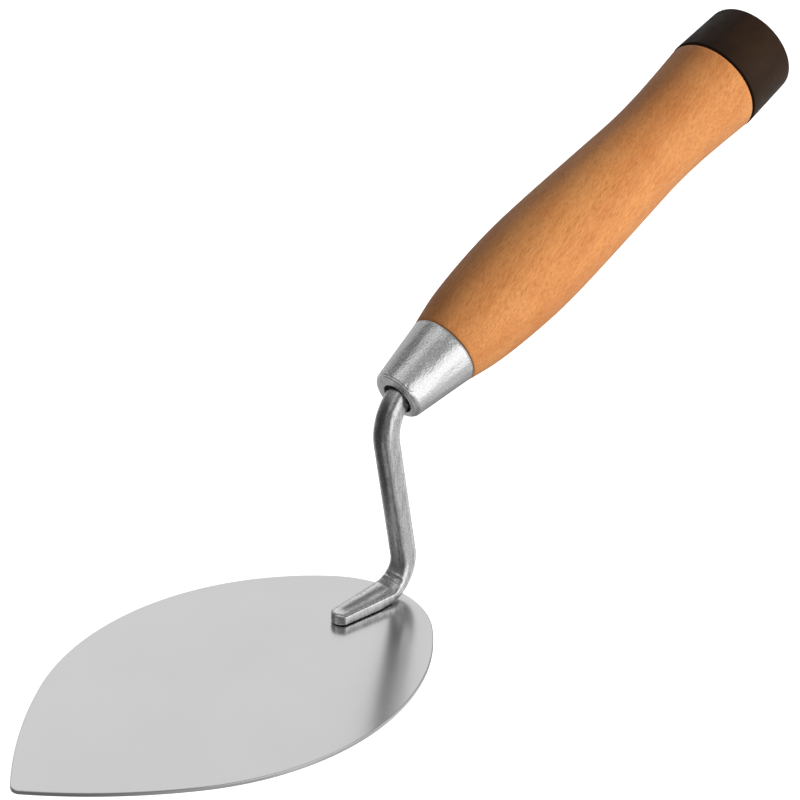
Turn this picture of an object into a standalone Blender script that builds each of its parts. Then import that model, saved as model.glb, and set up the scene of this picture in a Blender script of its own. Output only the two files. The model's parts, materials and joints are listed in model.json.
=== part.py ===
"""Leaf-pattern brick trowel, a flat rounded blade on a cranked forged neck.

Frame: metres, +Z up. The origin is on the blade's underside, halfway along the
blade on its centre line. The blade's point looks along -X, the handle rises
towards +X, and the whole tool is mirror symmetric about the plane y = 0.

Pieces: blade, neck (foot, swan neck and tang in one forging), ferrule, handle
and end_cap.
"""
import math

import bmesh
import bpy
from mathutils import Matrix, Vector

MM = 0.001
GAP = 0.3 * MM              # clearance left between pieces that touch

# Blade: sheet steel, its half outline made of four tangent arcs
BLADE_LENGTH = 140.0 * MM
BLADE_THICKNESS = 1.2 * MM
BLADE_WIDEST_X = 6.1 * MM   # where the flank arc is furthest from the centre line
HEEL_RADIUS = 30.3 * MM
FLANK_RADIUS = 75.3 * MM
TIP_FLANK_RADIUS = 151.5 * MM
NOSE_RADIUS = 3.0 * MM
BLADE_EDGE_BREAK = 0.2 * MM

# Handle axis: a line in the plane y = 0 through the seam of ferrule and wood
SEAM = Vector((85.8, 0.0, 73.3)) * MM
HANDLE_TILT = math.radians(23.65)

# Neck: a rounded square bar, bent twice and flattened into the foot
BAR = 6.7 * MM
BAR_CORNER = 2.4 * MM
TANG_END = 68.0 * MM        # distances along the handle axis, from the seam
TANG_END_BAR = 4.8 * MM
UPPER_CORNER = -26.9 * MM   # where the tang's line meets the shank's line
UPPER_BEND_RADIUS = 14.0 * MM
SHANK_LEAN = math.radians(11.3)
LOWER_BEND_RADIUS = 7.4 * MM
LOWER_BEND_THINNING = 0.5 * MM   # taken off the outside of the bend, halfway round
FOOT_TOE_X = 45.0 * MM
FOOT_WIDEST_X = 64.0 * MM
FOOT_TOE = [6.1 * MM, 2.4 * MM, 3.2 * MM]   # width, height of the side, of the crown
FOOT_HEEL = [9.0 * MM, 2.9 * MM, 4.2 * MM]
FOOT_CORNER = 0.5 * MM      # along the foot's bottom edges, growing to the heel's
FOOT_HEEL_CORNER = 1.9 * MM
FOOT_SETTLES_X = 58.0 * MM
FOOT_STATIONS = [x * MM for x in (62.0, 60.0, 58.0, 54.0, 50.0, 45.0)]
TOE_SAGITTA = 1.8 * MM      # how far the toe's round front stands ahead of its corners
TOE_DROP = 0.5 * MM         # how far the top comes down over the round front

# Ferrule: a drawn cone with a pierced flat front
FERRULE_LENGTH = 21.1 * MM
FERRULE_REAR_RADIUS = 11.0 * MM
FERRULE_FRONT_RADIUS = 7.7 * MM
FERRULE_SHOULDER = 2.0 * MM
FERRULE_WALL = 0.9 * MM
FERRULE_HOLE_RADIUS = 5.4 * MM

# Handle: turned wood, as (distance from the seam, radius) along its outside
HANDLE_PROFILE = [
    (0.0, 11.1), (10.0, 13.2), (23.0, 14.65), (37.0, 15.4), (52.0, 15.25),
    (74.0, 14.45), (93.0, 13.7), (105.0, 13.9), (116.0, 14.6), (127.8, 15.6),
]
HANDLE_END = 128.2 * MM
HANDLE_END_ROUNDING = 0.4 * MM
FRONT_SPIGOT = 14.0 * MM    # length of the wood inside the ferrule
TANG_BORE_RADIUS = 4.5 * MM
TANG_BORE_DEPTH = 70.0 * MM

# End cap: moulded, pressed over a spigot turned on the wood
CAP_END = 148.2 * MM
CAP_FRONT_RADIUS = 15.8 * MM
CAP_REAR_RADIUS = 15.15 * MM
CAP_EDGE_RADIUS = 1.0 * MM
SOCKET_RADIUS = 13.0 * MM
SOCKET_DEPTH = 15.0 * MM

TURNED_SIDES = 56


def clear_scene():
    for obj in list(bpy.data.objects):
        bpy.data.objects.remove(obj, do_unlink=True)


def make_material(name, colour, roughness, metallic):
    material = bpy.data.materials.new(name)
    material.use_nodes = True
    shader = material.node_tree.nodes["Principled BSDF"]
    shader.inputs["Base Color"].default_value = (*colour, 1.0)
    shader.inputs["Roughness"].default_value = roughness
    shader.inputs["Metallic"].default_value = metallic
    return material


def add_object(name, mesh_builder, material, smooth_angle=math.radians(35)):
    mesh = bpy.data.meshes.new(name)
    bmesh.ops.recalc_face_normals(mesh_builder, faces=mesh_builder.faces)
    mesh_builder.to_mesh(mesh)
    mesh_builder.free()
    mesh.shade_smooth()
    mesh.set_sharp_from_angle(angle=smooth_angle)
    mesh.materials.append(material)
    obj = bpy.data.objects.new(name, mesh)
    bpy.context.scene.collection.objects.link(obj)
    return obj


def arc(centre, radius, start, end, steps):
    """Points of an arc, with angles in radians from +X towards the second axis."""
    return [
        (
            centre[0] + radius * math.cos(start + (end - start) * i / steps),
            centre[1] + radius * math.sin(start + (end - start) * i / steps),
        )
        for i in range(steps + 1)
    ]


def smooth_through(points, steps):
    """A Catmull-Rom curve through 2D points, with steps pieces in each span."""
    ends = [points[0], *points, points[-1]]
    curve = []
    for before, a, b, after in zip(ends, ends[1:], ends[2:], ends[3:]):
        for i in range(steps):
            t = i / steps
            curve.append(tuple(
                0.5 * (2 * q + (r - p) * t + (2 * p - 5 * q + 4 * r - s) * t ** 2
                       + (3 * q - p - 3 * r + s) * t ** 3)
                for p, q, r, s in zip(before, a, b, after)
            ))
    curve.append(points[-1])
    return curve


def angle_between_centres(start, end):
    return math.atan2(end[1] - start[1], end[0] - start[0])


def blade_half_outline():
    """From the heel over the +Y side to the nose: four arcs, each tangent to the next."""
    heel = (BLADE_LENGTH / 2 - HEEL_RADIUS, 0.0)
    nose = (NOSE_RADIUS - BLADE_LENGTH / 2, 0.0)
    heel_offset = heel[0] - BLADE_WIDEST_X
    flank = (
        BLADE_WIDEST_X,
        -math.sqrt((FLANK_RADIUS - HEEL_RADIUS) ** 2 - heel_offset ** 2),
    )
    # The tip flank's centre is (tip radius - flank radius) from the flank's centre
    # and (tip radius - nose radius) from the nose's centre.
    to_flank = TIP_FLANK_RADIUS - FLANK_RADIUS
    to_nose = TIP_FLANK_RADIUS - NOSE_RADIUS
    span = math.dist(nose, flank)
    along = (to_nose ** 2 - to_flank ** 2 + span ** 2) / (2 * span)
    aside = math.sqrt(to_nose ** 2 - along ** 2)
    ux, uy = (flank[0] - nose[0]) / span, (flank[1] - nose[1]) / span
    tip_flank = (nose[0] + along * ux + aside * uy, nose[1] + along * uy - aside * ux)

    heel_join = angle_between_centres(flank, heel)
    flank_join = angle_between_centres(tip_flank, flank)
    nose_join = angle_between_centres(tip_flank, nose)
    outline = arc(heel, HEEL_RADIUS, 0.0, heel_join, 12)
    outline += arc(flank, FLANK_RADIUS, heel_join, flank_join, 28)[1:]
    outline += arc(tip_flank, TIP_FLANK_RADIUS, flank_join, nose_join, 8)[1:]
    outline += arc(nose, NOSE_RADIUS, nose_join, math.pi, 5)[1:]
    return outline


def build_blade(material):
    half = blade_half_outline()
    outline = half + [(x, -y) for x, y in reversed(half[1:-1])]
    bm = bmesh.new()
    underside = bm.faces.new([bm.verts.new((x, y, 0.0)) for x, y in outline])
    top = bmesh.ops.extrude_face_region(bm, geom=[underside])
    top_verts = [v for v in top["geom"] if isinstance(v, bmesh.types.BMVert)]
    bmesh.ops.translate(bm, verts=top_verts, vec=(0.0, 0.0, BLADE_THICKNESS))
    blade = add_object("blade", bm, material)
    edge_break = blade.modifiers.new("edge_break", "BEVEL")
    edge_break.width = BLADE_EDGE_BREAK
    edge_break.segments = 1
    edge_break.limit_method = "ANGLE"
    edge_break.angle_limit = math.radians(60)
    return blade


def neck_section(half_width, below, side, crown, top_reach, bottom_corner):
    """A section as (sideways, inward) points, anticlockwise from the +Y side.

    side and crown are the heights of the upright side and of the top, and
    top_reach is how far in from the side the round upper corner ends.
    """
    steps = 4
    upper = []
    for i in range(steps + 1):
        turn = math.pi / 2 * i / steps
        upper.append((half_width - top_reach * (1 - math.cos(turn)),
                      side + (crown - side) * math.sin(turn)))
    corner = (half_width - bottom_corner, bottom_corner - below)
    lower = arc(corner, bottom_corner, -math.pi / 2, 0.0, steps)
    return (
        upper
        + [(-y, z) for y, z in reversed(upper)]
        + [(-y, z) for y, z in reversed(lower)]
        + lower
    )


def mix(a, b, share):
    return [p + (q - p) * share for p, q in zip(a, b)]


def bar_shape(bar, corner):
    """The bar's section, in the order that neck_section takes its sizes."""
    half = bar / 2
    return [half, half, half - corner, half, corner, corner]


def foot_shape(x):
    """The foot's section at x, measured from the bar's centre line."""
    share = min(1.0, (x - FOOT_TOE_X) / (FOOT_WIDEST_X - FOOT_TOE_X))
    width, side, crown = mix(FOOT_TOE, FOOT_HEEL, share)
    lift = max(0.0, (x - FOOT_SETTLES_X) / (FOOT_WIDEST_X - FOOT_SETTLES_X))
    corner = FOOT_CORNER + (FOOT_HEEL_CORNER - FOOT_CORNER) * min(1.0, lift)
    half = BAR / 2
    return [width / 2, half, side - half, crown - half, 0.85 * width / 2, corner]


def bend(centre, radius, start, end, steps):
    """Places along a bend as (centre of the bar, heading)."""
    side = math.copysign(math.pi / 2, start - end)
    for i in range(steps + 1):
        heading = start + (end - start) * i / steps
        outward = heading + side
        place = centre + Vector((math.cos(outward), 0.0, math.sin(outward))) * radius
        yield place, heading, i / steps


def neck_stations():
    """Sections along the neck, from the tang's end to the toe.

    Each is (centre, heading, shape). The heading is the angle from +X towards +Z
    in which the bar runs on, and inward is a quarter turn clockwise from it.
    """
    axis = Vector((math.cos(HANDLE_TILT), 0.0, math.sin(HANDLE_TILT)))
    down = Vector((math.sin(SHANK_LEAN), 0.0, -math.cos(SHANK_LEAN)))
    tang_heading = HANDLE_TILT - math.pi
    shank_heading = SHANK_LEAN - math.pi / 2
    bar = bar_shape(BAR, BAR_CORNER)

    # Tang, driven into the wood
    tang_tip = SEAM + axis * TANG_END
    stations = [
        (tang_tip, tang_heading, bar_shape(TANG_END_BAR - 1.2 * MM, 1.0 * MM)),
        (tang_tip - axis * 0.8 * MM, tang_heading, bar_shape(TANG_END_BAR, 1.2 * MM)),
        (SEAM, tang_heading, bar),
    ]

    # Upper bend, from the handle's axis round to the shank
    corner = SEAM + axis * UPPER_CORNER
    turn = shank_heading - tang_heading
    start = corner + axis * UPPER_BEND_RADIUS * math.tan(turn / 2)
    centre = start + Vector((axis.z, 0.0, -axis.x)) * UPPER_BEND_RADIUS
    for place, heading, _ in bend(centre, UPPER_BEND_RADIUS, tang_heading, shank_heading, 12):
        stations.append((place, heading, bar))

    # Lower bend, from the shank round to the foot, which lies along -X
    foot_line = BLADE_THICKNESS + GAP + BAR / 2
    corner += down * (corner.z - foot_line) / -down.z
    turn = shank_heading + math.pi
    start = corner - down * LOWER_BEND_RADIUS * math.tan(turn / 2)
    centre = start + Vector((down.z, 0.0, -down.x)) * LOWER_BEND_RADIUS
    heel = foot_shape(FOOT_WIDEST_X)
    for place, heading, share in bend(centre, LOWER_BEND_RADIUS, shank_heading, -math.pi, 12):
        shape = mix(bar, heel, share ** 2)
        shape[1] -= LOWER_BEND_THINNING * math.sin(math.pi * share)
        stations.append((place, heading, shape))

    # Foot, down to the toe and over its front, which is an arc seen from above
    for x in FOOT_STATIONS:
        stations.append((Vector((x, 0.0, foot_line)), -math.pi, foot_shape(x)))
    corner_width = FOOT_TOE[0] / 2
    front_radius = (corner_width ** 2 + TOE_SAGITTA ** 2) / (2 * TOE_SAGITTA)
    front_centre = FOOT_TOE_X - TOE_SAGITTA + front_radius
    corner_turn = math.asin(corner_width / front_radius)
    for i in range(1, 5):
        turn = corner_turn * (1 - i / 5)
        toe = foot_shape(FOOT_TOE_X)
        toe[0] = front_radius * math.sin(turn)
        toe[2] -= TOE_DROP * (i / 4) ** 2
        toe[3] -= TOE_DROP * (i / 4) ** 2
        toe[4] = 0.85 * toe[0]
        x = front_centre - front_radius * math.cos(turn)
        stations.append((Vector((x, 0.0, foot_line)), -math.pi, toe))
    return stations


def build_neck(material):
    bm = bmesh.new()
    rings = []
    for centre, heading, shape in neck_stations():
        inward = Vector((math.sin(heading), 0.0, -math.cos(heading)))
        rings.append([
            bm.verts.new(centre + Vector((0.0, sideways, 0.0)) + inward * rise)
            for sideways, rise in neck_section(*shape)
        ])
    for ring, following in zip(rings, rings[1:]):
        for i in range(len(ring)):
            j = (i + 1) % len(ring)
            bm.faces.new((ring[i], ring[j], following[j], following[i]))
    bm.faces.new(rings[0])
    bm.faces.new(rings[-1])
    return add_object("neck", bm, material)


def place_on_handle_axis(obj):
    """Turned pieces are drawn around +Z from the seam; +Z becomes the handle's axis."""
    turn = Matrix.Rotation(math.pi / 2 - HANDLE_TILT, 4, "Y")
    obj.matrix_world = Matrix.Translation(SEAM) @ turn


def turn_profile(name, profile, material, closed):
    """Turn (distance, radius) points around +Z. An open profile ends on the axis."""
    bm = bmesh.new()
    rings = []
    for distance, radius in profile:
        if radius < 1e-7:
            rings.append([bm.verts.new((0.0, 0.0, distance))])
            continue
        rings.append([
            bm.verts.new((
                radius * math.cos(math.tau * i / TURNED_SIDES),
                radius * math.sin(math.tau * i / TURNED_SIDES),
                distance,
            ))
            for i in range(TURNED_SIDES)
        ])
    pairs = list(zip(rings, rings[1:]))
    if closed:
        pairs.append((rings[-1], rings[0]))
    for ring, following in pairs:
        for i in range(TURNED_SIDES):
            j = (i + 1) % TURNED_SIDES
            corners = [ring[i % len(ring)], ring[j % len(ring)],
                       following[j % len(following)], following[i % len(following)]]
            bm.faces.new(list(dict.fromkeys(corners)))
    obj = add_object(name, bm, material)
    place_on_handle_axis(obj)
    return obj


def ferrule_outer_radius(distance):
    share = -distance / FERRULE_LENGTH
    return FERRULE_REAR_RADIUS + (FERRULE_FRONT_RADIUS - FERRULE_REAR_RADIUS) * share


def build_ferrule(material):
    rear = -GAP
    front = -FERRULE_LENGTH
    shoulder_start = front + FERRULE_SHOULDER
    shoulder_radius = ferrule_outer_radius(shoulder_start)
    shoulder_centre = (shoulder_start, shoulder_radius - FERRULE_SHOULDER)
    inner_shoulder = FERRULE_SHOULDER - FERRULE_WALL
    profile = [(rear, ferrule_outer_radius(rear) - 0.2 * MM),
               (rear - 0.2 * MM, ferrule_outer_radius(rear))]
    profile += arc(shoulder_centre, FERRULE_SHOULDER, math.pi / 2, math.pi, 6)
    profile += [(front, FERRULE_HOLE_RADIUS + 0.2 * MM),
                (front + 0.2 * MM, FERRULE_HOLE_RADIUS),
                (front + FERRULE_WALL, FERRULE_HOLE_RADIUS)]
    profile += arc(shoulder_centre, inner_shoulder, math.pi, math.pi / 2, 3)
    profile += [(rear, ferrule_outer_radius(rear) - FERRULE_WALL)]
    return turn_profile("ferrule", profile, material, closed=True)


def build_handle(material):
    spigot_clearance = FERRULE_WALL + GAP
    outside = [(s * MM, r * MM) for s, r in HANDLE_PROFILE]
    rear_spigot = SOCKET_RADIUS - GAP
    profile = [
        (TANG_BORE_DEPTH, 0.0),
        (TANG_BORE_DEPTH, TANG_BORE_RADIUS),
        (-FRONT_SPIGOT, TANG_BORE_RADIUS),
        (-FRONT_SPIGOT, ferrule_outer_radius(-FRONT_SPIGOT) - spigot_clearance),
        (0.0, ferrule_outer_radius(0.0) - spigot_clearance),
    ]
    profile += smooth_through(outside, 3)
    profile += [
        (HANDLE_END, outside[-1][1] - HANDLE_END_ROUNDING),
        (HANDLE_END, rear_spigot),
        (HANDLE_END + SOCKET_DEPTH - 1.0 * MM, rear_spigot),
        (HANDLE_END + SOCKET_DEPTH, rear_spigot - 1.0 * MM),
        (HANDLE_END + SOCKET_DEPTH, 0.0),
    ]
    return turn_profile("handle", profile, material, closed=False)


def build_end_cap(material):
    front = HANDLE_END + GAP
    socket_floor = front + SOCKET_DEPTH
    edge_centre = (CAP_END - CAP_EDGE_RADIUS, CAP_REAR_RADIUS - CAP_EDGE_RADIUS)
    profile = [
        (socket_floor, 0.0),
        (socket_floor, SOCKET_RADIUS),
        (front, SOCKET_RADIUS),
        (front, CAP_FRONT_RADIUS - 0.3 * MM),
        (front + 0.3 * MM, CAP_FRONT_RADIUS),
    ]
    profile += arc(edge_centre, CAP_EDGE_RADIUS, math.pi / 2, 0.0, 5)
    profile += [(CAP_END, 0.0)]
    return turn_profile("end_cap", profile, material, closed=False)


def main():
    clear_scene()
    stainless = make_material("stainless", (0.62, 0.62, 0.62), 0.32, 1.0)
    forged = make_material("forged_steel", (0.42, 0.42, 0.42), 0.38, 1.0)
    plated = make_material("plated_steel", (0.66, 0.66, 0.65), 0.22, 1.0)
    beech = make_material("beech", (0.52, 0.24, 0.08), 0.42, 0.0)
    plastic = make_material("brown_plastic", (0.018, 0.012, 0.010), 0.36, 0.0)
    build_blade(stainless)
    build_neck(forged)
    build_ferrule(plated)
    build_handle(beech)
    build_end_cap(plastic)


main()
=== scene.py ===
"""Brick trowel: detailed meshes and materials for every piece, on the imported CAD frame.

The blade's point looks along -X, the handle rises towards +X, +Z is up, and the
tool is mirror symmetric about y = 0, apart from the crease in the ferrule's shoulder
and its off-centre hole.
"""
import json
import math

import bmesh
import bpy
from mathutils import Matrix, Vector


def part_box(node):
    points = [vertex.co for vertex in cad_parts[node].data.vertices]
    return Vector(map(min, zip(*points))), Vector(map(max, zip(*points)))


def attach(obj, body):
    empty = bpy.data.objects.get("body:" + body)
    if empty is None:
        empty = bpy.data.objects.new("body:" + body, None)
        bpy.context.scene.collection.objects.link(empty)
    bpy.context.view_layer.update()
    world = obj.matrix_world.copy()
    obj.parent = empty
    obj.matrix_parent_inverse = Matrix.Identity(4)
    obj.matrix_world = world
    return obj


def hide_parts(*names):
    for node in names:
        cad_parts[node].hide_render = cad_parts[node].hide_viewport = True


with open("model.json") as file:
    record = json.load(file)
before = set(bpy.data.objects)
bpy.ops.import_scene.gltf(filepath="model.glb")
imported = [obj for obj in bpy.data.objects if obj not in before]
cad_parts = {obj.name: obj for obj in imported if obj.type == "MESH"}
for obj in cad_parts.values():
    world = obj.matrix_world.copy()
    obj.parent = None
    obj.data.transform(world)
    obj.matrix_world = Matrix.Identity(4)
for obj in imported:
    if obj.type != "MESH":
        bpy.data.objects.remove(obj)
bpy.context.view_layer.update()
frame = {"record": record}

MM = 0.001

# Frame of the handle: the butt mount is the middle of the end cap's flat end
BUTT = next(m for m in frame["record"]["mounts"] if m["name"] == "butt")
AXIS = Vector(BUTT["axis"]).normalized()
TILT = math.atan2(AXIS.z, AXIS.x)
CAP_END = 148.2 * MM
SEAM = Vector(BUTT["pos_m"]) - AXIS * CAP_END
HANDLE_FRAME = Matrix.Translation(SEAM) @ Matrix.Rotation(math.pi / 2 - TILT, 4, "Y")

BLADE_LOW, BLADE_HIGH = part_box("blade")
BLADE_TOP = BLADE_HIGH.z


# ---------------------------------------------------------------- node helpers

class Nodes:
    """A short way to write a material's node tree."""

    def __init__(self, tree):
        self.tree = tree

    def add(self, kind, inputs=(), **settings):
        node = self.tree.nodes.new(kind)
        for key, value in settings.items():
            setattr(node, key, value)
        for key, value in dict(inputs).items():
            self.put(node.inputs[key], value)
        return node

    def put(self, socket, value):
        if isinstance(value, bpy.types.NodeSocket):
            self.tree.links.new(value, socket)
        elif isinstance(value, bpy.types.Node):
            self.tree.links.new(value.outputs[0], socket)
        else:
            socket.default_value = value

    def math(self, operation, a, b=0.0, c=0.0):
        return self.add("ShaderNodeMath", {0: a, 1: b, 2: c}, operation=operation)

    def place(self, scale=(1, 1, 1), turn=(0, 0, 0), shift=(0, 0, 0)):
        """The object's own coordinates, in millimetres, turned and then scaled."""
        where = self.add("ShaderNodeTexCoord")
        turned = self.add("ShaderNodeMapping", {
            "Vector": where.outputs["Object"], "Rotation": turn, "Location": shift,
            "Scale": (1000, 1000, 1000)})
        return self.add("ShaderNodeMapping", {"Vector": turned, "Scale": scale})

    def noise(self, vector, scale, detail=2.0, rough=0.5):
        return self.add("ShaderNodeTexNoise", {
            "Vector": vector, "Scale": scale, "Detail": detail, "Roughness": rough})

    def ramp(self, value, low, high, to_low=0.0, to_high=1.0):
        return self.add("ShaderNodeMapRange", {
            "Value": value, "From Min": low, "From Max": high,
            "To Min": to_low, "To Max": to_high}, interpolation_type="SMOOTHSTEP")

    def blend(self, share, a, b, how="MIX"):
        node = self.add("ShaderNodeMix", data_type="RGBA", blend_type=how)
        self.put(node.inputs["Factor"], share)
        self.put(node.inputs["A"], a)
        self.put(node.inputs["B"], b)
        return node.outputs["Result"]

    def bump(self, height, strength, distance, normal=None):
        node = self.add("ShaderNodeBump", {
            "Height": height, "Strength": strength, "Distance": distance})
        if normal is not None:
            self.put(node.inputs["Normal"], normal)
        return node


def material(name, **fixed):
    """A new material, its Principled shader with the fixed sockets set, and its nodes."""
    made = bpy.data.materials.new(name)
    made.use_nodes = True
    shader = made.node_tree.nodes["Principled BSDF"]
    for key, value in fixed.items():
        shader.inputs[key.replace("_", " ")].default_value = value
    return made, shader, Nodes(made.node_tree)


def rgb(r, g, b):
    return (r, g, b, 1.0)


# ------------------------------------------------------------------- materials

def sheet_steel():
    """Cold-rolled stainless sheet: even satin, very fine rolling grain along the blade."""
    made, shader, n = material("blade_sheet", Metallic=1.0)
    grain = n.noise(n.place(scale=(0.05, 1.0, 1.0)), 7.0, 3.0, 0.6)
    fine = n.noise(n.place(scale=(0.35, 1.0, 1.0)), 3.2, 2.0)
    cloud = n.noise(n.place(), 0.03, 2.0)
    colour = n.blend(n.ramp(cloud, 0.35, 0.65), rgb(0.660, 0.660, 0.662), rgb(0.672, 0.672, 0.672))
    n.put(shader.inputs["Base Color"], colour)
    n.put(shader.inputs["Roughness"], n.ramp(grain, 0.3, 0.7, 0.19, 0.22))
    rolled = n.bump(grain, 0.03, 0.02 * MM)
    n.put(shader.inputs["Normal"], n.bump(fine, 0.02, 0.03 * MM, rolled))
    return made


def forged_steel():
    """Drawn bar, bent and forged, then tumbled bright: streaks along it and small pits."""
    made, shader, n = material("neck_steel", Metallic=1.0)
    skin = n.noise(n.place(), 0.9, 4.0, 0.6)
    pits = n.noise(n.place(), 2.6, 2.0)
    swell = n.noise(n.place(), 0.16, 2.0)
    drawn = n.noise(n.place(scale=(1.0, 1.0, 0.07)), 1.6, 3.0, 0.6)
    colour = n.blend(n.ramp(skin, 0.35, 0.65), rgb(0.72, 0.72, 0.72), rgb(0.82, 0.82, 0.82))
    colour = n.blend(n.ramp(drawn, 0.44, 0.66, 0.0, 0.5), colour, rgb(0.36, 0.36, 0.36))
    where = n.add("ShaderNodeSeparateXYZ", {0: n.place()})
    x, y, z = (where.outputs[axis] for axis in "XYZ")
    toe, widest, top = FOOT_TOE_X / MM, FOOT_WIDEST_X / MM, (BLADE_TOP + FOOT_TOE[1]) / MM
    # Painted shade: the shank's front and back are coloured darker towards the lower bend, near the
    # foot and blade
    flat = n.ramp(n.math("ABSOLUTE", y), 3.1, 1.7)
    low = n.math("MULTIPLY", n.ramp(z, 58.0, 22.0), flat)
    low = n.math("MULTIPLY", low, n.ramp(x, widest + 2.0, widest + 5.0, 0.0, 0.75))
    colour = n.blend(low, colour, rgb(0.26, 0.26, 0.26))
    # Painted dark reflection: a dark band with a ragged edge is coloured along the middle of the
    # foot's top
    ragged = n.noise(n.place(scale=(0.35, 1.0, 1.0)), 0.7, 4.0, 0.65)
    off_middle = n.math("ABSOLUTE", n.math("ADD", y, 0.2))
    off_middle = n.math("MULTIPLY_ADD", ragged, 1.6, off_middle)
    scale = n.math("MULTIPLY", n.ramp(off_middle, 3.1, 1.2), n.ramp(z, top + 0.1, top + 0.6))
    scale = n.math("MULTIPLY", scale, n.ramp(x, toe, toe + 3.0))
    scale = n.math("MULTIPLY", scale, n.ramp(x, widest + 2.0, widest - 2.0))
    specks = n.ramp(pits, 0.62, 0.70, 1.0, 0.2)
    colour = n.blend(n.math("MULTIPLY", scale, specks), colour, rgb(0.17, 0.17, 0.17))
    n.put(shader.inputs["Base Color"], n.blend(
        n.ramp(pits, 0.30, 0.40), rgb(0.30, 0.30, 0.30), colour))
    n.put(shader.inputs["Roughness"], n.ramp(skin, 0.3, 0.7, 0.22, 0.32))
    rough = n.bump(n.math("ADD", n.math("MULTIPLY", pits, 0.5), skin), 0.22, 0.06 * MM)
    streaks = n.bump(drawn, 0.25, 0.06 * MM, rough)
    n.put(shader.inputs["Normal"], n.bump(swell, 0.5, 0.4 * MM, streaks))
    return made


def plated_steel():
    """Bright plating over a drawn cup, with the sandy grain that drawing leaves."""
    made, shader, n = material("ferrule_plate", Metallic=1.0)
    sand = n.noise(n.place(), 1.7, 2.0, 0.7)
    drawn = n.noise(n.place(scale=(1.0, 1.0, 0.12)), 1.1, 2.0)
    swell = n.noise(n.place(scale=(1.0, 1.0, 0.3)), 0.22, 1.0)
    # Painted shade: the inside is coloured nearly black, as the shade within the cup: the hole's wall
    # just behind the front, and whatever lies deep enough below the cone
    where = n.add("ShaderNodeSeparateXYZ", {0: n.place()})
    x, y, z = (where.outputs[axis] for axis in "XYZ")
    front, rear_radius = -FERRULE_LENGTH / MM, FERRULE_REAR_RADIUS / MM
    taper = (FERRULE_REAR_RADIUS - FERRULE_FRONT_RADIUS) / FERRULE_LENGTH
    widest_hole = (HOLE_RADIUS + HOLE_OFFSET) / MM
    radius = n.math("SQRT", n.math("MULTIPLY_ADD", x, x, n.math("MULTIPLY", y, y)))
    sunk = n.math("SUBTRACT", n.math("MULTIPLY_ADD", z, taper, rear_radius), radius)
    hole = n.math("MULTIPLY", n.ramp(radius, widest_hole + 0.35, widest_hole + 0.25),
                  n.ramp(z, front + 0.20, front + 0.35))
    cavity = n.math("MULTIPLY", n.ramp(sunk, 0.50, 0.60), n.ramp(z, front + 2.1, front + 2.2))
    painted_inner_shade = n.math("MAXIMUM", hole, cavity)
    colour = n.blend(n.ramp(sand, 0.3, 0.7), rgb(0.76, 0.76, 0.77), rgb(0.84, 0.84, 0.84))
    n.put(shader.inputs["Base Color"], n.blend(painted_inner_shade, colour, rgb(0.03, 0.03, 0.03)))
    n.put(shader.inputs["Roughness"], n.ramp(sand, 0.3, 0.7, 0.08, 0.15))
    grain = n.bump(sand, 0.9, 0.16 * MM)
    drawn_bump = n.bump(drawn, 0.15, 0.06 * MM, grain)
    n.put(shader.inputs["Normal"], n.bump(swell, 0.8, 0.5 * MM, drawn_bump))
    return made


def beech():
    """Waxed steamed beech: fine flecks and vessel lines along a slightly slanting grain."""
    made, shader, n = material("beech_wood", Specular_IOR_Level=0.25)
    slant = (math.radians(8.7), math.radians(8.2), 0.0)
    # Growth rings cut lengthwise give broad soft bands
    bands = n.noise(n.place(scale=(1.0, 1.0, 0.035), turn=slant), 0.14, 3.0, 0.55)
    streaks = n.noise(n.place(scale=(1.0, 1.0, 0.06), turn=slant), 0.9, 3.0, 0.6)
    # Vessels are hair lines, and rays show as short dark dashes
    vessels = n.noise(n.place(scale=(1.0, 1.0, 0.13), turn=slant), 3.4, 3.0, 0.65)
    dashes = n.noise(n.place(scale=(1.0, 1.0, 0.20), turn=slant, shift=(7, 3, 11)), 2.6, 2.0, 0.5)
    mottle = n.noise(n.place(), 0.10, 2.0)
    colour = n.blend(n.ramp(bands, 0.35, 0.65), rgb(0.550, 0.227, 0.068), rgb(0.468, 0.173, 0.049))
    colour = n.blend(n.ramp(streaks, 0.40, 0.70, 0.0, 0.35), colour, rgb(0.38, 0.135, 0.041))
    colour = n.blend(n.ramp(mottle, 0.35, 0.70, 0.0, 0.35), colour, rgb(0.575, 0.265, 0.088))
    colour = n.blend(n.ramp(vessels, 0.48, 0.66, 0.0, 0.55), colour, rgb(0.34, 0.110, 0.034))
    colour = n.blend(n.ramp(vessels, 0.48, 0.32, 0.0, 0.35), colour, rgb(0.63, 0.305, 0.112))
    flecks = n.ramp(dashes, 0.61, 0.70, 0.0, 0.45)
    colour = n.blend(flecks, colour, rgb(0.22, 0.072, 0.026))
    n.put(shader.inputs["Base Color"], colour)
    n.put(shader.inputs["Roughness"], n.ramp(vessels, 0.3, 0.7, 0.44, 0.58))
    pores = n.bump(n.math("MULTIPLY", n.math("ADD", flecks, vessels), -0.7), 0.35, 0.08 * MM)
    n.put(shader.inputs["Normal"], n.bump(bands, 0.15, 0.4 * MM, pores))
    return made


def cap_plastic():
    """Dark brown moulded plastic with a fine dull grain and faint handling scuffs."""
    made, shader, n = material("cap_plastic", Specular_IOR_Level=0.08)
    grain = n.noise(n.place(), 2.6, 3.0, 0.6)
    flow = n.noise(n.place(scale=(1.0, 1.0, 0.5)), 0.13, 3.0)
    scuff = n.noise(n.place(shift=(4, 9, 2)), 0.28, 4.0, 0.7)
    colour = n.blend(n.ramp(flow, 0.3, 0.7), rgb(0.0180, 0.0100, 0.0065), rgb(0.0270, 0.0145, 0.0080))
    n.put(shader.inputs["Base Color"], n.blend(
        n.ramp(scuff, 0.62, 0.78, 0.0, 0.30), colour, rgb(0.040, 0.036, 0.034)))
    n.put(shader.inputs["Roughness"], n.ramp(scuff, 0.3, 0.7, 0.44, 0.58))
    n.put(shader.inputs["Normal"], n.bump(grain, 0.15, 0.04 * MM))
    return made


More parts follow.
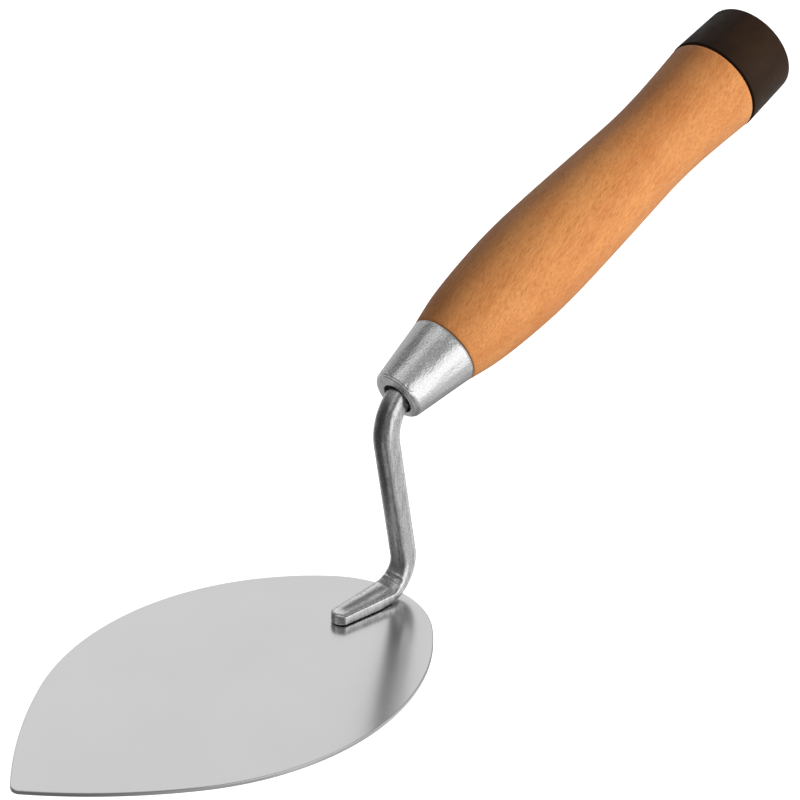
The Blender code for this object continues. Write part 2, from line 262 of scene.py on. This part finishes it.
def floor_paper():
    """White studio paper, self-lit so strongly that hardly any shadow shows on it."""
    made, shader, n = material("floor_paper", Roughness=0.9, Specular_IOR_Level=0.1)
    fibre = n.noise(n.place(), 0.8, 3.0)
    n.put(shader.inputs["Base Color"], n.blend(
        n.ramp(fibre, 0.3, 0.7), rgb(0.50, 0.50, 0.50), rgb(0.53, 0.53, 0.53)))
    shader.inputs["Emission Color"].default_value = rgb(1.0, 1.0, 1.0)
    shader.inputs["Emission Strength"].default_value = 0.95
    return made


# ---------------------------------------------------------------- mesh helpers

def add_piece(name, bm, shared_material, node, place=Matrix.Identity(4), smooth=30):
    mesh = bpy.data.meshes.new(name)
    bmesh.ops.recalc_face_normals(bm, faces=bm.faces)
    bm.to_mesh(mesh)
    bm.free()
    mesh.shade_smooth()
    mesh.set_sharp_from_angle(angle=math.radians(smooth))
    mesh.materials.append(shared_material)
    piece = bpy.data.objects.new(name, mesh)
    piece.matrix_world = place
    bpy.context.scene.collection.objects.link(piece)
    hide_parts(node)
    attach(piece, "root")
    return piece


def arc(centre, radius, start, end, steps):
    """Points of an arc, with angles in radians from the first axis to the second."""
    return [(centre[0] + radius * math.cos(start + (end - start) * i / steps),
             centre[1] + radius * math.sin(start + (end - start) * i / steps))
            for i in range(steps + 1)]


def smooth_through(points, steps):
    """A Catmull-Rom curve through 2D points, with steps pieces in each span."""
    ends = [points[0], *points, points[-1]]
    curve = []
    for before, a, b, after in zip(ends, ends[1:], ends[2:], ends[3:]):
        for i in range(steps):
            t = i / steps
            curve.append(tuple(
                0.5 * (2 * q + (r - p) * t + (2 * p - 5 * q + 4 * r - s) * t ** 2
                       + (3 * q - p - 3 * r + s) * t ** 3)
                for p, q, r, s in zip(before, a, b, after)))
    curve.append(points[-1])
    return curve


def turned(profile_at, sides, closed):
    """Turn a profile around +Z. A closed one joins its ends, and an end may lie on the axis.

    profile_at(angle) gives the (distance, radius) points that stand at that angle.
    """
    bm = bmesh.new()
    rings = []
    angles = [math.tau * i / sides for i in range(sides)]
    for points in zip(*(profile_at(angle) for angle in angles)):
        if points[0][1] < 1e-7:
            rings.append([bm.verts.new((0.0, 0.0, points[0][0]))])
        else:
            rings.append([bm.verts.new((radius * math.cos(angle), radius * math.sin(angle), distance))
                          for angle, (distance, radius) in zip(angles, points)])
    pairs = list(zip(rings, rings[1:])) + ([(rings[-1], rings[0])] if closed else [])
    for ring, following in pairs:
        for i in range(sides):
            j = (i + 1) % sides
            corners = [ring[i % len(ring)], ring[j % len(ring)],
                       following[j % len(following)], following[i % len(following)]]
            bm.faces.new(list(dict.fromkeys(corners)))
    return bm


# ----------------------------------------------------------------------- blade

HEEL_RADIUS = 30.3 * MM
FLANK_RADIUS = 75.3 * MM
TIP_FLANK_RADIUS = 151.5 * MM
NOSE_RADIUS = 3.0 * MM
WIDEST_X = 6.1 * MM


def blade_half_outline():
    """From the heel over the +Y side to the nose: four arcs, each tangent to the next."""
    heel = (BLADE_HIGH.x - HEEL_RADIUS, 0.0)
    nose = (BLADE_LOW.x + NOSE_RADIUS, 0.0)
    drop = math.sqrt((FLANK_RADIUS - HEEL_RADIUS) ** 2 - (heel[0] - WIDEST_X) ** 2)
    flank = (WIDEST_X, -drop)
    to_flank, to_nose = TIP_FLANK_RADIUS - FLANK_RADIUS, TIP_FLANK_RADIUS - NOSE_RADIUS
    span = math.dist(nose, flank)
    along = (to_nose ** 2 - to_flank ** 2 + span ** 2) / (2 * span)
    aside = math.sqrt(to_nose ** 2 - along ** 2)
    ux, uy = (flank[0] - nose[0]) / span, (flank[1] - nose[1]) / span
    tip = (nose[0] + along * ux + aside * uy, nose[1] + along * uy - aside * ux)

    def turn(a, b):
        return math.atan2(b[1] - a[1], b[0] - a[0])

    outline = arc(heel, HEEL_RADIUS, 0.0, turn(flank, heel), 40)
    outline += arc(flank, FLANK_RADIUS, turn(flank, heel), turn(tip, flank), 90)[1:]
    outline += arc(tip, TIP_FLANK_RADIUS, turn(tip, flank), turn(tip, nose), 24)[1:]
    outline += arc(nose, NOSE_RADIUS, turn(tip, nose), math.pi, 12)[1:]
    return outline


def build_blade(steel):
    half = blade_half_outline()
    outline = half + [(x, -y) for x, y in reversed(half[1:-1])]
    bm = bmesh.new()
    underside = bm.faces.new([bm.verts.new((x, y, 0.0)) for x, y in outline])
    top = bmesh.ops.extrude_face_region(bm, geom=[underside])
    lifted = [v for v in top["geom"] if isinstance(v, bmesh.types.BMVert)]
    bmesh.ops.translate(bm, verts=lifted, vec=(0.0, 0.0, BLADE_TOP))
    blade = add_piece("trowel_blade", bm, steel, "blade", smooth=50)
    edge = blade.modifiers.new("ground_edge", "BEVEL")
    edge.width = 0.24 * MM
    edge.segments = 3
    edge.limit_method = "ANGLE"
    edge.angle_limit = math.radians(60)
    edge.harden_normals = True
    return blade


# ------------------------------------------------------------------------ neck

BAR = 6.7 * MM
BAR_CORNER = 2.4 * MM
UPPER_CORNER = -26.9 * MM
UPPER_BEND_RADIUS = 14.0 * MM
SHANK_LEAN = math.radians(11.3)
LOWER_BEND_RADIUS = 7.4 * MM
LOWER_BEND_THINNING = 0.5 * MM
TOE_SAGITTA = 1.8 * MM
TOE_DROP = 0.7 * MM
FOOT_TOE_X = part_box("neck")[0].x + TOE_SAGITTA
FOOT_WIDEST_X = 64.0 * MM
FOOT_SETTLES_X = 58.0 * MM
FOOT_TOE = [6.1 * MM, 2.4 * MM, 3.2 * MM]
FOOT_HEEL = [9.0 * MM, 2.9 * MM, 4.2 * MM]
TANG_END = 68.0 * MM
CORNER_STEPS = 9
# Ridges and grooves that the bending die left across the inside of the lower bend:
# (how far round the bend, height)
LEDGE_WIDTH = 0.035
LEDGES = [(0.60, 0.22 * MM), (0.68, -0.28 * MM), (0.76, 0.24 * MM), (0.84, -0.14 * MM)]


def neck_section(half_width, below, side, crown, top_reach, bottom_corner):
    """A section as (sideways, inward) points, anticlockwise from the +Y side.

    The section reaches below outward and crown inward. Its sides run straight up to
    side, where an elliptical corner that is top_reach wide takes over.
    """
    upper = []
    for i in range(CORNER_STEPS + 1):
        turn = math.pi / 2 * i / CORNER_STEPS
        upper.append((half_width - top_reach * (1 - math.cos(turn)),
                      side + (crown - side) * math.sin(turn)))
    lower = arc((half_width - bottom_corner, bottom_corner - below), bottom_corner,
                -math.pi / 2, 0.0, CORNER_STEPS)
    return (upper + [(-y, z) for y, z in reversed(upper)]
            + [(-y, z) for y, z in reversed(lower)] + lower)


def mix(a, b, share):
    return [p + (q - p) * share for p, q in zip(a, b)]


def foot_shape(x):
    """The foot's neck_section values at x, where it widens from the toe to the heel."""
    share = min(1.0, (x - FOOT_TOE_X) / (FOOT_WIDEST_X - FOOT_TOE_X))
    width, side, crown = mix(FOOT_TOE, FOOT_HEEL, share)
    lift = min(1.0, max(0.0, (x - FOOT_SETTLES_X) / (FOOT_WIDEST_X - FOOT_SETTLES_X)))
    half = BAR / 2
    return [width / 2, half, side - half, crown - half, 0.85 * width / 2, (0.5 + 1.4 * lift) * MM]


def bend(centre, radius, start, end, steps):
    side = math.copysign(math.pi / 2, start - end)
    for i in range(steps + 1):
        heading = start + (end - start) * i / steps
        outward = Vector((math.cos(heading + side), 0.0, math.sin(heading + side)))
        yield centre + outward * radius, heading, i / steps


def neck_stations():
    """(centre, heading, shape) from the tang's end to the toe, as the CAD neck runs."""
    down = Vector((math.sin(SHANK_LEAN), 0.0, -math.cos(SHANK_LEAN)))
    tang_heading = TILT - math.pi
    shank_heading = SHANK_LEAN - math.pi / 2
    half = BAR / 2
    bar = [half, half, half - BAR_CORNER, half, BAR_CORNER, BAR_CORNER]
    slim = [v * 0.73 for v in bar]
    stations = [(SEAM + AXIS * TANG_END, tang_heading, slim), (SEAM, tang_heading, bar)]

    corner = SEAM + AXIS * UPPER_CORNER
    turn = shank_heading - tang_heading
    start = corner + AXIS * UPPER_BEND_RADIUS * math.tan(turn / 2)
    centre = start + Vector((AXIS.z, 0.0, -AXIS.x)) * UPPER_BEND_RADIUS
    for place, heading, _ in bend(centre, UPPER_BEND_RADIUS, tang_heading, shank_heading, 24):
        stations.append((place, heading, bar))
    shank_top = stations[-1][0]

    foot_line = BLADE_TOP + 0.3 * MM + half
    corner += down * (corner.z - foot_line) / -down.z
    turn = shank_heading + math.pi
    start = corner - down * LOWER_BEND_RADIUS * math.tan(turn / 2)
    for i in range(1, 24):
        stations.append((shank_top.lerp(start, i / 24), shank_heading, bar))
    centre = start + Vector((down.z, 0.0, -down.x)) * LOWER_BEND_RADIUS
    heel = foot_shape(FOOT_WIDEST_X)
    for place, heading, share in bend(centre, LOWER_BEND_RADIUS, shank_heading, -math.pi, 48):
        shape = mix(bar, heel, share ** 2)
        shape[1] -= LOWER_BEND_THINNING * math.sin(math.pi * share)
        shape[3] += sum(height * math.exp(-((share - middle) / LEDGE_WIDTH) ** 2)
                        for middle, height in LEDGES)
        stations.append((place, heading, shape))

    bend_end = stations[-1][0].x
    foot_steps = 30
    for i in range(1, foot_steps + 1):
        x = bend_end + (FOOT_TOE_X - bend_end) * i / foot_steps
        stations.append((Vector((x, 0.0, foot_line)), -math.pi, foot_shape(x)))
    # The toe's front is an arc seen from above, and the top rolls down over it
    corner_width = FOOT_TOE[0] / 2
    front_radius = (corner_width ** 2 + TOE_SAGITTA ** 2) / (2 * TOE_SAGITTA)
    front_centre = FOOT_TOE_X - TOE_SAGITTA + front_radius
    corner_turn = math.asin(corner_width / front_radius)
    front_steps = 14
    for i in range(1, front_steps):
        turn = corner_turn * (1 - i / front_steps)
        toe = foot_shape(FOOT_TOE_X)
        toe[0] = front_radius * math.sin(turn)
        toe[2] -= TOE_DROP * (i / front_steps) ** 2
        toe[3] -= TOE_DROP * (i / front_steps) ** 2
        toe[4] = 0.85 * toe[0]
        toe[5] = min(toe[5], 0.8 * toe[0])
        x = front_centre - front_radius * math.cos(turn)
        stations.append((Vector((x, 0.0, foot_line)), -math.pi, toe))
    return stations


def build_neck(steel):
    bm = bmesh.new()
    rings = []
    for centre, heading, shape in neck_stations():
        inward = Vector((math.sin(heading), 0.0, -math.cos(heading)))
        rings.append([bm.verts.new(centre + Vector((0.0, sideways, 0.0)) + inward * rise)
                      for sideways, rise in neck_section(*shape)])
    for ring, following in zip(rings, rings[1:]):
        for i in range(len(ring)):
            j = (i + 1) % len(ring)
            bm.faces.new((ring[i], ring[j], following[j], following[i]))
    bm.faces.new(rings[0])
    bm.faces.new(rings[-1])
    return add_piece("trowel_neck", bm, steel, "neck", smooth=40)


# --------------------------------------------------------------------- ferrule

FERRULE_LENGTH = 21.1 * MM
FERRULE_REAR_RADIUS = 11.0 * MM
FERRULE_FRONT_RADIUS = 7.7 * MM
FERRULE_SHOULDER = 2.0 * MM
CREASED_SHOULDER = 0.5 * MM
FERRULE_WALL = 0.9 * MM
FRONT_WALL = 0.5 * MM
HOLE_RADIUS = 4.8 * MM
HOLE_OFFSET = 0.6 * MM
HOLE_OFFSET_ANGLE = math.radians(-47.0)
# The die creased the shoulder along a stretch of it: where around the axis, and half of
# how far round, in radians
CREASE_MIDDLE = math.radians(-160.0)
CREASE_HALF = 0.66
CREASE_BEHIND = 0.62 * MM
CREASE_WIDTH = 0.20 * MM
CREASE_DEPTH = 0.24 * MM
NICK_DEPTH = 0.22 * MM
FORK_DEPTH = 0.16 * MM


def ferrule_radius(distance):
    share = -distance / FERRULE_LENGTH
    return FERRULE_REAR_RADIUS + (FERRULE_FRONT_RADIUS - FERRULE_REAR_RADIUS) * share


def hump(offset, width):
    return math.exp(-(offset / width) ** 2)


def crease_depth(behind, around):
    """How deep the crease is, this far behind the front and around from its middle.

    One end of it hooks backwards and the other forks. A short nick crosses it.
    """
    reach = 1 / (1 + math.exp((abs(around) - CREASE_HALF) / 0.05))
    hook = 0.9 * MM * max(0.0, (around - 0.48) / 0.18) ** 2
    fork = 0.7 * MM * max(0.0, (-around - 0.40) / 0.20)
    return (CREASE_DEPTH * reach * hump(behind - CREASE_BEHIND - hook, CREASE_WIDTH)
            + NICK_DEPTH * hump(behind - 1.1 * MM, 0.45 * MM) * hump(around - 0.40, 0.045)
            + FORK_DEPTH * hump(behind - 0.9 * MM - fork, 0.22 * MM) * hump(around + 0.44, 0.16))


def ferrule_profile(angle):
    front, rear = -FERRULE_LENGTH, -0.3 * MM
    around = math.remainder(angle - CREASE_MIDDLE, math.tau)
    creased = 1 / (1 + math.exp((abs(around) - 0.72) / 0.10))
    shoulder = FERRULE_SHOULDER + (CREASED_SHOULDER - FERRULE_SHOULDER) * creased
    start = front + shoulder
    centre = (start, ferrule_radius(start) - shoulder)
    # A small rolled rim at the wood, then the cone, in fine steps where it is creased
    profile = [(rear, ferrule_radius(rear) - 0.40 * MM)]
    profile += arc((rear - 0.16 * MM, ferrule_radius(rear) - 0.14 * MM), 0.16 * MM,
                   math.pi / 6, math.pi * 0.8, 5)
    profile += [(rear - d * MM, ferrule_radius(rear - d * MM) - drop * MM)
                for d, drop in ((0.42, 0.06), (0.60, 0.02), (0.9, 0.0))]
    profile += [(rear - d * MM, ferrule_radius(rear - d * MM)) for d in range(2, 17, 2)]
    fine, fine_end = 40, front + 3.6 * MM
    distances = [start + (fine_end - start) * (1 - i / fine) for i in range(fine)]
    outside = [(distance, ferrule_radius(distance)) for distance in distances]
    outside += arc(centre, shoulder, math.pi / 2, math.pi, 14)
    profile += [(distance, radius - crease_depth(distance - front, around))
                for distance, radius in outside]
    # The pierced hole is a little off centre, and its lip is rounded
    hole, lip = HOLE_RADIUS + HOLE_OFFSET * math.cos(angle - HOLE_OFFSET_ANGLE), 0.25 * MM
    profile += arc((front + lip, hole + lip), lip, math.pi, math.pi * 1.5, 4)
    profile += [(front + FRONT_WALL, hole),
                (front + 2.2 * MM, ferrule_radius(front) - FERRULE_WALL),
                (rear, ferrule_radius(rear) - FERRULE_WALL)]
    return profile


def build_ferrule(plate):
    return add_piece("trowel_ferrule", turned(ferrule_profile, 256, True), plate,
                     "ferrule", HANDLE_FRAME, smooth=45)


# ---------------------------------------------------------------------- handle

HANDLE_PROFILE = [(0.0, 11.1), (10.0, 13.2), (23.0, 14.65), (37.0, 15.4), (52.0, 15.25),
                  (74.0, 14.45), (93.0, 13.7), (105.0, 13.9), (116.0, 14.6), (127.8, 15.6)]
HANDLE_END = 128.2 * MM
SOCKET_RADIUS = 13.0 * MM


def build_handle(wood):
    outside = smooth_through([(s * MM, r * MM) for s, r in HANDLE_PROFILE], 10)
    rim = outside[-1][1]
    # A bore for the tang, and a spigot that reaches a little way into the ferrule
    spigot, bore, bore_end = -1.0 * MM, 4.5 * MM, TANG_END + 2.0 * MM
    profile = [(bore_end, 0.0), (bore_end, bore), (spigot, bore),
               (spigot, ferrule_radius(spigot) - 1.2 * MM),
               (0.0, 9.8 * MM), (0.0, outside[0][1] - 0.35 * MM)]
    profile += arc((0.35 * MM, outside[0][1] - 0.35 * MM), 0.35 * MM, math.pi, math.pi / 2, 3)[1:]
    profile += outside[1:-2]
    profile += arc((HANDLE_END - 0.9 * MM, rim - 0.95 * MM), 0.9 * MM, math.pi / 2, 0.0, 6)
    profile += [(HANDLE_END, SOCKET_RADIUS - 0.3 * MM), (HANDLE_END, 0.0)]
    return add_piece("trowel_handle", turned(lambda angle: profile, 128, False), wood, "handle",
                     HANDLE_FRAME, smooth=40)


# --------------------------------------------------------------------- end cap

def build_end_cap(plastic):
    front = HANDLE_END + 0.3 * MM
    front_radius, rear_radius = 15.8 * MM, 15.15 * MM
    profile = [(front + 1.2 * MM, 0.0), (front + 1.2 * MM, SOCKET_RADIUS), (front, SOCKET_RADIUS)]
    profile += arc((front + 0.4 * MM, front_radius - 0.4 * MM), 0.4 * MM, math.pi, math.pi / 2, 5)
    edge = (CAP_END - 1.0 * MM, rear_radius - 1.0 * MM)
    profile += [(front + d * MM, front_radius + (rear_radius - front_radius) * d / 19.5)
                for d in (4.0, 8.0, 12.0, 16.0)]
    profile += arc(edge, 1.0 * MM, math.pi / 2, 0.0, 8)
    # A shallow moulded dish in the middle of the end
    profile += [(CAP_END, 9.0 * MM), (CAP_END - 0.15 * MM, 8.7 * MM),
                (CAP_END - 0.25 * MM, 8.2 * MM), (CAP_END - 0.25 * MM, 0.0)]
    return add_piece("trowel_end_cap", turned(lambda angle: profile, 128, False), plastic,
                     "end_cap", HANDLE_FRAME, smooth=40)


# ----------------------------------------------------------------------- stage

def add_stage(name, bm, paper):
    """A stage surface that the trowel's own pieces neither mirror nor take colour from."""
    mesh = bpy.data.meshes.new(name)
    bm.to_mesh(mesh)
    bm.free()
    mesh.materials.append(paper)
    surface = bpy.data.objects.new(name, mesh)
    surface.visible_glossy = False
    surface.visible_diffuse = False
    bpy.context.scene.collection.objects.link(surface)
    return surface


def build_stage():
    paper = floor_paper()
    size, wall_radius, wall_height = 3.0, 2.9, 2.5
    below = -0.05 * MM
    bm = bmesh.new()
    bm.faces.new([bm.verts.new((x, y, below))
                  for x, y in ((-size, -size), (size, -size), (size, size), (-size, size))])
    add_stage("studio_floor", bm, paper)
    # A round pale wall closes the horizon in low views, without shading the trowel
    wall = turned(lambda angle: [(below, wall_radius), (wall_height, wall_radius)], 64, False)
    add_stage("studio_wall", wall, paper).visible_shadow = False


def build_world():
    """A soft studio: even grey with broad soft lights, each given by its direction.

    Each light is (direction, where it ends, where it is full, strength), the two
    edges in degrees from its middle.
    """
    base = 0.18
    lights = [
        ((0.55, 0.63, 0.55), 25, 10, 0.74),      # behind, seen in the blade
        ((0.13, -0.97, 0.17), 44, 16, 1.00),     # key side
        ((0.66, -0.70, 0.15), 30, 10, 0.45),     # key side, right
        ((0.55, -0.66, -0.51), 34, 12, 0.40),    # under the key
        ((-0.15, -0.78, -0.61), 34, 8, 0.30),    # in front, low
        ((0.95, -0.12, -0.28), 31, 12, 0.55),    # right, low
        ((0.72, 0.05, -0.69), 30, 12, 0.15),     # right, lower
        ((0.30, 0.95, 0.05), 34, 16, 0.27),      # behind, level
        ((0.15, 0.80, -0.58), 34, 14, 0.28),     # behind, low
        ((-0.22, 0.10, 0.97), 26, 10, 0.45),     # overhead
        ((-0.20, -0.48, 0.86), 28, 8, 0.16),     # overhead, in front
        ((0.66, -0.10, 0.74), 30, 10, 0.20),     # overhead, right
        ((0.65, 0.73, -0.10), 26, 10, 0.12),     # behind, right
        ((-0.66, 0.18, 0.73), 34, 12, 0.34),     # overhead, left
    ]
    world = bpy.data.worlds.new("studio")
    world.use_nodes = True
    bpy.context.scene.world = world
    n = Nodes(world.node_tree)
    background = world.node_tree.nodes["Background"]
    where = n.add("ShaderNodeTexCoord").outputs["Generated"]
    total = None
    for direction, end, full, strength in lights:
        dot = n.add("ShaderNodeVectorMath", {
            0: where, 1: Vector(direction).normalized()}, operation="DOT_PRODUCT")
        glow = n.ramp(dot.outputs["Value"], math.cos(math.radians(end)),
                      math.cos(math.radians(full)), 0.0, strength)
        total = glow if total is None else n.math("ADD", total, glow)
    n.put(background.inputs["Color"], rgb(1.0, 1.0, 1.0))
    n.put(background.inputs["Strength"], n.math("ADD", total, base))


def build_lights():
    data = bpy.data.lights.new("key", "AREA")
    data.shape = "RECTANGLE"
    data.size, data.size_y = 0.5, 0.35
    data.energy = 13.2
    key = bpy.data.objects.new("key", data)
    aim = Vector((0.10, 0.0, 0.06))
    # The metal mirrors the world's soft lights and not this one
    key.visible_glossy = False
    key.location = aim + Vector((0.244, -0.917, 0.314)).normalized() * 1.1
    key.rotation_mode = "QUATERNION"
    key.rotation_quaternion = (aim - key.location).to_track_quat("-Z", "Y")
    bpy.context.scene.collection.objects.link(key)


def build_camera():
    azimuth, elevation, roll = (math.radians(v) for v in (-46.493, 25.706, 1.212))
    back = Vector((math.sin(azimuth) * math.cos(elevation),
                   -math.cos(azimuth) * math.cos(elevation), math.sin(elevation)))
    level = Vector((math.cos(azimuth), math.sin(azimuth), 0.0))
    upright = back.cross(level)
    right = level * math.cos(roll) + upright * math.sin(roll)
    up = upright * math.cos(roll) - level * math.sin(roll)
    aim = Vector((62.748, -5.244, 67.144)) * MM
    data = bpy.data.cameras.new("camera")
    data.lens = 103.996
    data.sensor_width = 36.0
    data.clip_start, data.clip_end = 0.01, 20.0
    camera = bpy.data.objects.new("camera", data)
    turn = Matrix((right, up, back)).transposed().to_4x4()
    camera.matrix_world = Matrix.Translation(aim + back * 634.803 * MM) @ turn
    bpy.context.scene.collection.objects.link(camera)
    bpy.context.scene.camera = camera


build_blade(sheet_steel())
build_neck(forged_steel())
build_ferrule(plated_steel())
# The handle's orange would show too strongly in the foot
build_handle(beech()).visible_glossy = False
build_end_cap(cap_plastic())
build_stage()
build_world()
build_lights()
build_camera()
bpy.context.scene.view_settings.view_transform = "Standard"
